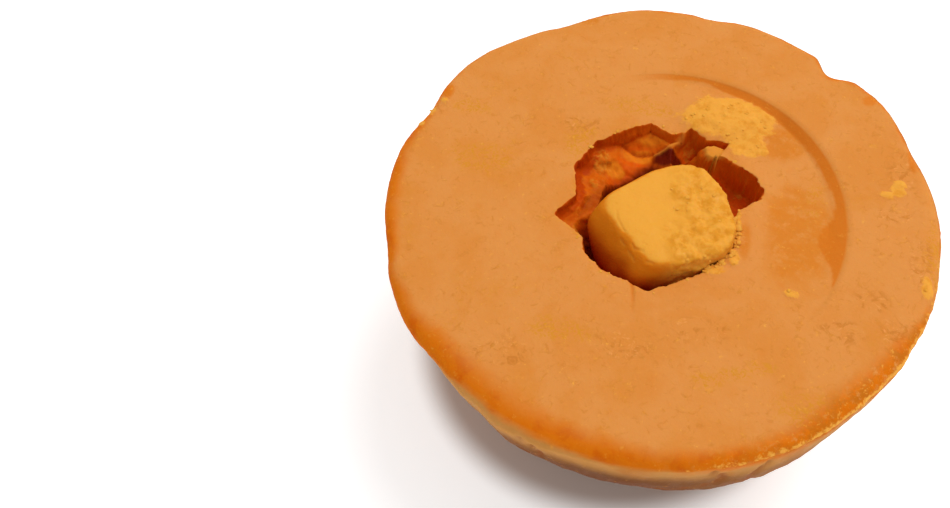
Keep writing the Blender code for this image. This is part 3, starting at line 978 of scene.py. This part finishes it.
def hollow_masks(points, zones, normals, fine):
    """Depth, steep walls, crumbling spots and dark creases of the hollow, with painted shade on the walls,
    in the crevice and creases, and painted light in patches and along ridges.
    """
    x, y, z = points.T
    bearing, distance = polar(x, y, HOLLOW_CENTRE)
    wall = smooth((WALL_STEEP[0] - normals[:, 2]) / WALL_STEEP[1])
    wall = wall * smooth((WALL_DEPTH + z) / WALL_FADE)
    strip = swells(bearing, WALL_WIDTH, WALL_WIDER) + WALL_RAGGED * fine
    inset = ragged_break_radius(bearing) - distance
    wall = np.maximum(wall, smooth((strip - inset) / WALL_SOFTNESS))
    crevice_shade = crevice_shade_share(x, y, z, fine)
    ragged, strength, less = CRUMBLY_EDGE
    crumbly = smooth((spots(x, y, HOLLOW_RUBBLE) + ragged * fine) * strength - less)
    # Painted shade along creases and painted highlight along ridges
    lines = {"fold_shade": [], "ridge_highlight": []}
    for height, width, passed in HOLLOW_LINES:
        lines["fold_shade" if height < 0 else "ridge_highlight"].append(line_share(x, y, width, passed))
    patch, _, ledge_top = LEDGES[0]
    strength, ragged, below, run = LEDGE_EDGE
    ledge = smooth(spot(x, y, *patch) * strength + ragged * fine) * rise(z, ledge_top - below, run)
    masks = {
        "hollow": np.ones_like(x),
        "depth": np.clip(-z / HOLLOW_DARK_DEPTH, 0, 2),
        # Steep walls, partly painted shade
        "wall": wall * (1 - ledge),
        "crumbly": crumbly * (1 - crevice_shade),
        # Painted light in patches
        "lit": smooth(spots(x, y, HOLLOW_LIT) * HOLLOW_SPOT_STRENGTH + 0.3 * fine) * (1 - crevice_shade),
        # Painted shade in the crevice
        "crevice_shade": crevice_shade,
        "ledge": ledge,
        # Painted shade on the left wall
        "west_wall_shade": wall * swell(bearing, *WEST_WALL_SHADE),
    }
    masks |= {name: np.maximum.reduce(shares) for name, shares in lines.items()}
    return {name: np.where(zones == HOLLOW, values, 0) for name, values in masks.items()}


def half_masks(points, zones, normals):
    """Where the half shows its dome, rim band, hollow, rubble, other finishes, and painted light and
    shade.
    """
    large = bumps(points, *LARGE_NOISE)
    fine = bumps(points, *FINE_NOISE)
    masks = rim_masks(points, zones, large, fine)
    masks |= face_masks(points, zones, large, fine)
    masks |= hollow_masks(points, zones, normals, fine)
    masks["crease"] = np.where(zones == DOME, crease_depth(*points.T), 0)
    return masks


def seam_calm(points):
    """Share of the relief that is left near the seam beside the chunk: 0 in the seam, 1 away from it."""
    bearing, distance = polar(points[:, 0], points[:, 1], HOLLOW_CENTRE)
    room = smooth((distance - seam_radius(bearing)) / SEAM_CALM)
    return 1 - smooth(swell(bearing, *SEAM) * SEAM_STEEPNESS) * (1 - room)


def lumps_height(heights, slow, middle, fine):
    """A step and slow, middle and fine lumps of the given heights."""
    step, of_slow, of_middle, of_fine = heights
    return step + of_slow * slow + of_middle * middle + of_fine * fine


def half_relief(points, zones, masks):
    """Fine relief of the half along its normals, in millimetres."""
    lumps = [bumps(points, *kind) for kind in HALF_NOISE]
    relief = lumps_height(PLAIN_RELIEF, *lumps)
    shown = masks | {"band": masks["band"] * (1 + BROKEN_ROUGHER * masks["broken"])}
    for name, heights in RELIEF.items():
        relief += shown[name] * lumps_height(heights, *lumps)
    relief += RUBBLE_GRAIN * grain_relief(points, masks["rubble"], 31)
    relief -= OCHRE_PITS * masks["ochre"] * np.abs(lumps[2])
    for height, half_width, passed in HOLLOW_LINES:
        relief += height * line_share(points[:, 0], points[:, 1], half_width, passed) * masks["hollow"]
    outside = np.where(zones == HOLLOW, 0, 1)
    relief = relief * np.maximum(outside, smooth(masks["depth"] * 4 + 0.15)) * seam_calm(points)
    return np.where(points[:, 2] < FOOT_CLEAR - FACE_HEIGHT, 0, relief)


def make_half(material):
    """The cast half with its broken hollow; returns its points and masks."""
    angles = bearings_through_corners()
    rings = dome_rings(angles) + shoulder_rings(angles) + face_rings(angles) + hollow_rings(angles)
    middle = np.array([HOLLOW_CENTRE[0]]), np.array([HOLLOW_CENTRE[1]])
    bottom = (0.0, 0.0, -FACE_HEIGHT)
    top = (*HOLLOW_CENTRE, float(scoop_height(*middle)[0]))
    points, faces = close_rings(rings, bottom, top)
    zones = zones_of_rings()
    normals = mesh_normals(points, faces)
    masks = half_masks(points, zones, normals)
    points = points + normals * half_relief(points, zones, masks)[:, None]
    make_piece("cast_half", points, faces, masks, material, "jaggery_half")
    return points, masks


def chunk_masks(points, normals):
    """Where the chunk is granular, pale on top or low, and the broken lines along its top's edge; its
    amber sides are partly painted shade, and painted shade darkens it low down.
    """
    x, y, z = points.T
    upward = normals[:, 2]
    slow, middle = (bumps(points, *kind) for kind in CHUNK_NOISE)
    grain = smooth((x - CHUNK_SMOOTH_TO + 3.0 * slow) / CHUNK_GRAIN_RUN)
    grain = grain * smooth(upward * 2 + 0.9)
    # Paler top facing up; the amber of the sides is partly painted shade
    pale = smooth((upward - CHUNK_PALE_FROM + 0.10 * middle) * 5 + 0.5)
    # Painted shade low on the chunk
    low = smooth((CHUNK_AMBER_TO - z + 1.2 * slow) / CHUNK_RED_OVER)
    lines = np.maximum.reduce([line_share(x, y, width, passed) for width, passed in CHUNK_LINES])
    lines = lines * smooth(middle * 2.5 + 0.7) * smooth(upward * 5)
    return {"grain": grain, "pale": np.maximum(pale, grain), "low": low, "lines": lines}


@functools.cache
def chunk_shape():
    """Points, faces and masks of the chunk, smooth to the left and granular to the right."""
    ball = bmesh.new()
    bmesh.ops.create_icosphere(ball, subdivisions=CHUNK_DIVISIONS, radius=1)
    directions = np.array([vertex.co.normalized() for vertex in ball.verts])
    faces = [[vertex.index for vertex in face.verts] for face in ball.faces]
    ball.free()
    points = chunk_points(directions)
    normals = mesh_normals(points, faces)
    masks = chunk_masks(points, normals)
    lumps = [bumps(points, *kind) for kind in CHUNK_RELIEF_NOISE]
    relief = lumps_height(CHUNK_RELIEF, *lumps)
    relief += masks["grain"] * lumps_height(CHUNK_GRAIN_RELIEF, *lumps)
    relief += grain_relief(points, masks["grain"], 35) - CHUNK_LINE_DEPTH * masks["lines"]
    return points + normals * relief[:, None], faces, masks


def make_chunk(material):
    """The paler chunk in the hollow; returns its points and masks."""
    points, faces, masks = chunk_shape()
    make_piece("loose_chunk", points, faces, masks, material, "centre_chunk")
    return points, masks


def seam_weights(points, cover):
    """Places along the chunk's right side where crumbs close the gap beside it."""
    bearing, distance = polar(points[:, 0], points[:, 1], HOLLOW_CENTRE)
    most, run, lowest = SEAM_CRUMBS_NEAR
    near = smooth(most - np.abs(distance - ragged_break_radius(bearing)) / run)
    near = near * (points[:, 2] > lowest)
    return near * smooth(swell(bearing, *SEAM) * 2) * (1 - cover["dome"])


def make_crumbs(name, places, sizes, seed, material, node):
    """Crumbs of sugar as one mesh of small flat uneven lumps, half sunk into the places they lie on."""
    draw = np.random.default_rng(seed)
    count = len(places)
    ball = bmesh.new()
    bmesh.ops.create_icosphere(ball, subdivisions=2, radius=1)
    shape = np.array([vertex.co[:] for vertex in ball.verts])
    sides = np.array([[vertex.index for vertex in face.verts] for face in ball.faces])
    ball.free()
    stretch = draw.uniform(*CRUMB_STRETCH, (count, 1, 3)) * (1, 1, CRUMB_FLATNESS)
    lumps = shape[None] * stretch * sizes[:, None, None] / 2
    lumps = lumps + places[:, None]
    uneven = bumps(lumps.reshape(-1, 3), *CRUMB_UNEVEN, seed).reshape(count, -1, 1)
    lumps = places[:, None] + (lumps - places[:, None]) * (1 + CRUMB_UNEVEN[0] * uneven)
    faces = (sides[None] + (np.arange(count) * len(shape))[:, None, None]).reshape(-1, 3).tolist()
    make_piece(name, lumps.reshape(-1, 3), faces, {}, material, node)


def scatter(points, weights, count, size_range, seed):
    """Places for crumbs, drawn from the points by weight, and their sizes, mostly small."""
    draw = np.random.default_rng(seed)
    places = points[draw.choice(len(points), count, replace=False, p=weights / weights.sum())]
    smallest, largest = size_range
    return places, smallest + (largest - smallest) * draw.uniform(0, 1, count) ** CRUMB_SMALLNESS


class Paint:
    """One material's nodes."""

    def __init__(self, name, roughness=0.5, specular=SPECULAR, depth_share=DEPTH_SHARE):
        self.material = bpy.data.materials.new(name)
        self.material.use_nodes = True
        self.tree = self.material.node_tree
        self.shader = self.tree.nodes["Principled BSDF"]
        self.set("Roughness", roughness)
        self.set("Specular IOR Level", specular)
        self.set("Subsurface Weight", depth_share)
        self.shader.inputs["Subsurface Radius"].default_value = DEPTH_RADIUS
        self.set("Subsurface Scale", DEPTH_SCALE * MM)
        self.place = self.tree.nodes.new("ShaderNodeTexCoord").outputs["Object"]

    def feed(self, socket, value):
        """Sets a socket to a number or colour, or links an output to it."""
        if isinstance(value, bpy.types.NodeSocket):
            self.tree.links.new(value, socket)
        elif isinstance(value, tuple):
            socket.default_value = (*value, 1)
        else:
            socket.default_value = value

    def set(self, name, value):
        """Feeds one of the shader's own sockets."""
        self.feed(self.shader.inputs[name], value)

    def node(self, kind, output, inputs, **settings):
        """An output of a new node with its settings and inputs."""
        node = self.tree.nodes.new("ShaderNode" + kind)
        for name, value in settings.items():
            setattr(node, name, value)
        for name, value in inputs.items():
            self.feed(node.inputs[name], value)
        return node.outputs[output]

    def mask(self, name):
        """A named mask of the mesh."""
        return self.node("Attribute", "Fac", {}, attribute_name=name)

    def mottle(self, size, detail=3.0, roughness=0.55, distortion=0.0):
        """Noise with lumps of the given size in millimetres."""
        inputs = {"Vector": self.place, "Scale": 1 / (size * MM), "Detail": detail}
        inputs |= {"Roughness": roughness, "Distortion": distortion}
        return self.node("TexNoise", "Fac", inputs)

    def between(self, value, low, high, most=1.0):
        """Rises from 0 to the most as the value goes from low to high."""
        inputs = {"Value": value, "From Min": low, "From Max": high, "To Max": most}
        return self.node("MapRange", "Result", inputs, interpolation_type="SMOOTHSTEP")

    def pattern(self, size, detail, roughness, distortion, low, high, most=1.0):
        """Mottled pattern."""
        return self.between(self.mottle(size, detail, roughness, distortion), low, high, most)

    def work(self, operation, first, second):
        """Arithmetic on two values."""
        return self.node("Math", "Value", {0: first, 1: second}, operation=operation)

    def mix(self, share, first, second):
        """Goes from the first colour to the second with the share."""
        inputs = {"Factor": share, "A": first, "B": second}
        return self.node("Mix", "Result", inputs, data_type="RGBA")

    def coats(self, colour, coats):
        """The colour with coats over it."""
        for name, over, shown in coats:
            share = self.pattern(*shown) if isinstance(shown, tuple) else shown
            if name:
                share = self.work("MULTIPLY", self.mask(name), share)
            colour = self.mix(share, colour, over)
        return colour

    def ragged(self, name, size, spread):
        """A named mask, its edges broken up by noise of the given size in millimetres."""
        detail, roughness, strength = RAGGED_NOISE
        noise_share = self.work("SUBTRACT", self.mottle(size, detail, roughness), 0.5)
        wavy = self.work("ADD", self.mask(name), self.work("MULTIPLY", noise_share, strength))
        return self.between(wavy, 0.5 - spread / 2, 0.5 + spread / 2)

    def bump(self, size, detail, roughness, depth, normal=None):
        """Fine relief of a depth in millimetres, on top of an earlier one."""
        inputs = {"Height": self.mottle(size, detail, roughness), "Distance": depth * MM}
        if normal is not None:
            inputs["Normal"] = normal
        return self.node("Bump", "Normal", inputs)

    def finish(self, colour, roughness, normal):
        """Links the surface's colour, roughness and normal."""
        self.set("Base Color", colour)
        self.set("Roughness", roughness)
        self.set("Normal", normal)
        return self.material


def hollow_colour(paint):
    """Broken sugar: orange, dark red on its walls and in its depth, pale where it crumbles; the dark is
    partly painted shade, as are the crevice and creases, and painted light lies in patches and along
    ridges.
    """
    depth = paint.mask("depth")
    uneven = paint.work("MULTIPLY", paint.mottle(RED_NOISE[0]), RED_NOISE[1])
    red = paint.between(paint.work("ADD", depth, uneven), *RED_DEPTHS)
    colour = paint.mix(red, HOLLOW_ORANGE, HOLLOW_RED)
    # Painted shade deeper down, then the coats
    return paint.coats(paint.mix(paint.between(depth, *DEEP_DEPTHS), colour, HOLLOW_DEEP_SHADE), HOLLOW_COATS)


def cast_material():
    """The whole cast half: tan face and dome, orange band, pale rubble and rim, broken hollow, with
    painted light and shade.
    """
    paint = Paint("cast_jaggery")
    dome = paint.coats(DOME_TAN, DOME_COATS)
    colour = paint.mix(paint.mask("dome"), paint.coats(FACE_TAN, FACE_COATS), dome)
    whole = paint.work("SUBTRACT", 1.0, paint.mask("broken"))
    worn = paint.work("MAXIMUM", paint.pattern(*WORN_PATCHES), whole)
    band = paint.coats(BAND_ORANGE, BAND_COATS)
    colour = paint.mix(paint.work("MULTIPLY", paint.mask("band"), worn), colour, band)
    rubble = paint.coats(RUBBLE_YELLOW, RUBBLE_COATS)
    colour = paint.mix(paint.ragged("rubble", *RUBBLE_RAGGED), colour, rubble)
    colour = paint.mix(paint.ragged("pale", *PALE_RAGGED), colour, PALE_YELLOW)
    colour = paint.coats(colour, EDGE_COATS)
    colour = paint.mix(paint.mask("hollow"), colour, hollow_colour(paint))
    gloss = paint.work("MULTIPLY", paint.mask("hollow"), HOLLOW_GLOSS)
    roughness = paint.work("SUBTRACT", paint.pattern(*HALF_SHEEN), gloss)
    normal = paint.bump(*HALF_LUMPS, paint.bump(*HALF_PITS))
    return paint.finish(colour, paint.work("ADD", roughness, HALF_ROUGHNESS), normal)


def chunk_material():
    """The paler chunk: yellow on top, amber to dark red down its sides, granular to the right; the amber
    is partly painted shade, and the dark red is painted shade.
    """
    paint = Paint("pale_jaggery")
    # Amber sides, partly painted shade, turning to the dark red of painted shade low down
    side = paint.mix(paint.mask("low"), CHUNK_AMBER, CHUNK_SHADE_RED)
    top = paint.mix(paint.pattern(*CHUNK_CLOUDS), CHUNK_YELLOW, RUBBLE_YELLOW)
    colour = paint.coats(paint.mix(paint.mask("pale"), side, top), CHUNK_COATS)
    return paint.finish(colour, paint.pattern(*CHUNK_SHEEN), paint.bump(*CHUNK_PITS))


def crumb_material():
    """Loose crumbs of the paler sugar."""
    paint = Paint("jaggery_crumbs")
    colour = paint.coats(RUBBLE_YELLOW, RUBBLE_COATS)
    return paint.finish(colour, CRUMB_ROUGHNESS, paint.bump(*CRUMB_PITS))


def floor_material():
    """Pale floor that glows a little; near the object it glows less and is greyer, a painted shadow."""
    paint = Paint("floor", FLOOR_ROUGHNESS, FLOOR_SPECULAR, 0)
    centre = Vector((*SHADE_CENTRE, 0)) * MM
    away = paint.node("VectorMath", "Value", {0: paint.place}, operation="DISTANCE")
    away.node.inputs[1].default_value = centre
    # Painted shadow: near the object the floor glows less and is greyer
    fade = paint.between(away, *(distance * MM for distance in SHADE_FADE))
    paint.set("Emission Color", (1, 1, 1))
    paint.set("Emission Strength", paint.work("MULTIPLY", fade, FLOOR_GLOW))
    paint.set("Base Color", paint.mix(fade, FLOOR_SHADED, FLOOR_WHITE))
    return paint.material


def add_floor():
    """Plain pale floor."""
    half = FLOOR_SIZE / 2
    mesh = bpy.data.meshes.new("floor")
    sheet = [(-half, -half, 0), (half, -half, 0), (half, half, 0), (-half, half, 0)]
    mesh.from_pydata(sheet, [], [(0, 1, 2, 3)])
    mesh.materials.append(floor_material())
    floor = add_object("floor", mesh)


def add_light():
    """Soft key light and an even white surround."""
    lamp = bpy.data.lights.new("key", "AREA")
    lamp.shape = "DISK"
    lamp.size = KEY_SIZE
    lamp.energy = KEY_POWER
    key = add_object("key", lamp)
    direction = Vector(KEY_DIRECTION).normalized()
    key.location = direction * KEY_DISTANCE + Vector((0, 0, FACE_HEIGHT * MM))
    key.rotation_euler = direction.to_track_quat("Z", "Y").to_euler()
    world = bpy.data.worlds.new("surround")
    world.use_nodes = True
    background = world.node_tree.nodes["Background"]
    background.inputs["Color"].default_value = (1, 1, 1, 1)
    background.inputs["Strength"].default_value = SURROUND_STRENGTH
    bpy.context.scene.world = world


def add_camera():
    """Camera at the photograph's distance, height and roll, with the face's middle on its pixel."""
    elevation, roll = math.radians(VIEW_ELEVATION), math.radians(VIEW_ROLL)
    forward = Vector((0, math.cos(elevation), -math.sin(elevation)))
    level = Vector((1, 0, 0))
    down = forward.cross(level)
    rolled_right = math.cos(roll) * level + math.sin(roll) * down
    rolled_down = math.cos(roll) * down - math.sin(roll) * level
    across = FACE_MIDDLE_PIXEL[0] - FRAME_PIXELS[0] / 2
    below = FACE_MIDDLE_PIXEL[1] - FRAME_PIXELS[1] / 2
    aim = Vector((across, below, FOCAL_PIXELS)).normalized()
    turn = Vector((0, 0, 1)).rotation_difference(aim).to_matrix()
    seen = turn @ Matrix((rolled_right, rolled_down, forward))
    lens = bpy.data.cameras.new("camera")
    lens.sensor_fit = "HORIZONTAL"
    lens.sensor_width = SENSOR_WIDTH
    lens.lens = FOCAL_PIXELS / FRAME_PIXELS[0] * SENSOR_WIDTH
    lens.clip_start = 0.01
    camera = add_object("camera", lens)
    place = Vector((0, 0, FACE_HEIGHT * MM)) - forward * VIEW_DISTANCE
    axes = seen.transposed() @ Matrix.Diagonal((1, -1, -1))
    camera.matrix_world = Matrix.Translation(place) @ axes.to_4x4()
    bpy.context.scene.camera = camera


def corners(box):
    """A box's two corners as plain lists of numbers."""
    return [[float(value) for value in corner] for corner in box]


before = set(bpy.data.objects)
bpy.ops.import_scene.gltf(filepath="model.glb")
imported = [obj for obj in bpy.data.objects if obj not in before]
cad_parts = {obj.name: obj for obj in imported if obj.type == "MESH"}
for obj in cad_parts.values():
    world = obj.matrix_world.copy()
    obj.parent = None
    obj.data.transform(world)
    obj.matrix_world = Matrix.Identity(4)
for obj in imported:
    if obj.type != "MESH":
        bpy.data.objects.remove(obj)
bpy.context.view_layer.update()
bpy.context.scene.view_settings.view_transform = "Standard"
add_camera()
half_points, half_cover = make_half(cast_material())
chunk_surface, chunk_cover = make_chunk(chunk_material())
heaps = (
    scatter(half_points, half_cover["rubble"], FACE_CRUMBS, CRUMB_SIZES, 21),
    scatter(half_points, half_cover["mouth"], EDGE_CRUMBS, CRUMB_SIZES, 23),
    scatter(half_points, seam_weights(half_points, half_cover), SEAM_CRUMBS, SEAM_CRUMB_SIZES, 24),
)
face_places, face_sizes = (np.concatenate(parts) for parts in zip(*heaps))
chunk_places, chunk_sizes = scatter(chunk_surface, chunk_cover["grain"], CHUNK_CRUMBS, CRUMB_SIZES, 22)
crumbs = crumb_material()
make_crumbs("face_crumbs", face_places, face_sizes, 21, crumbs, "jaggery_half")
make_crumbs("chunk_crumbs", chunk_places, chunk_sizes, 22, crumbs, "centre_chunk")
add_floor()
add_light()
